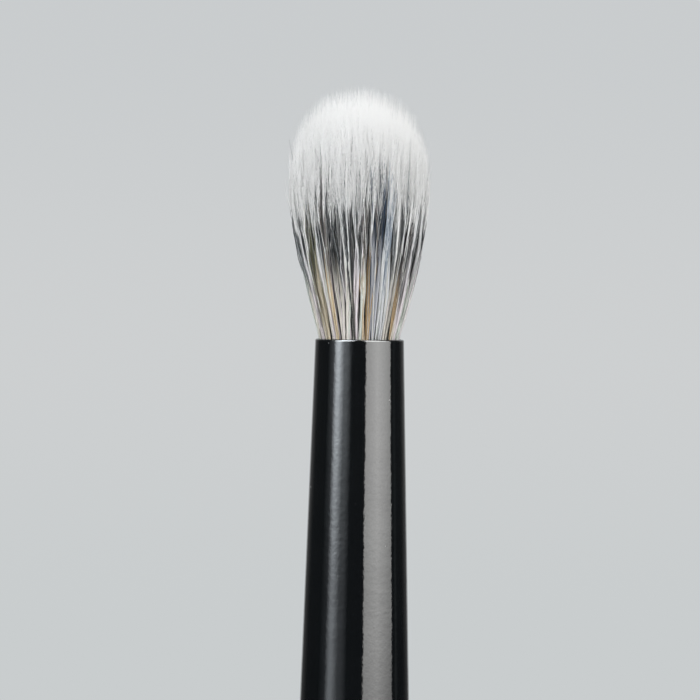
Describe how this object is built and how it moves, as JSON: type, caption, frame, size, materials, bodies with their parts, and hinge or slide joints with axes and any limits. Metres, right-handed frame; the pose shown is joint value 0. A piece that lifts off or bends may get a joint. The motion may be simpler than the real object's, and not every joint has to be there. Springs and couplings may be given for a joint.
{
  "type": "eyeshadow brush",
  "caption": "Domed eyeshadow blending brush: white and dark hair in a tapered gloss black ferrule, crimped on a long turned and lacquered handle.",
  "frame": {"origin": "middle of the flat end face of the handle's butt", "axes": "+Z along the brush, from the butt towards the hair; the brush is round, so X and Y are free"},
  "size_m": [0.0102, 0.0102, 0.1778],
  "materials": {
    "white_hair": "fine glossy hair, cream at the root and white at the tip",
    "dark_hair": "fine dark grey hair",
    "hair_root": "hair roots soaked in resin",
    "thread": "waxed thread",
    "resin": "cured resin",
    "ferrule_metal": "gloss black coated drawn metal",
    "glue": "cured glue",
    "handle_wood": "turned hardwood under gloss black lacquer, bare on the tenon"
  },
  "bodies": {
    "root": {"white_hairs": "white_hair", "dark_hairs": "dark_hair", "root_bundle": "hair_root", "binding_thread": "thread", "knot_glue": "resin", "ferrule": "ferrule_metal", "tenon_glue": "glue", "handle": "handle_wood"}
  },
  "joints": []
}
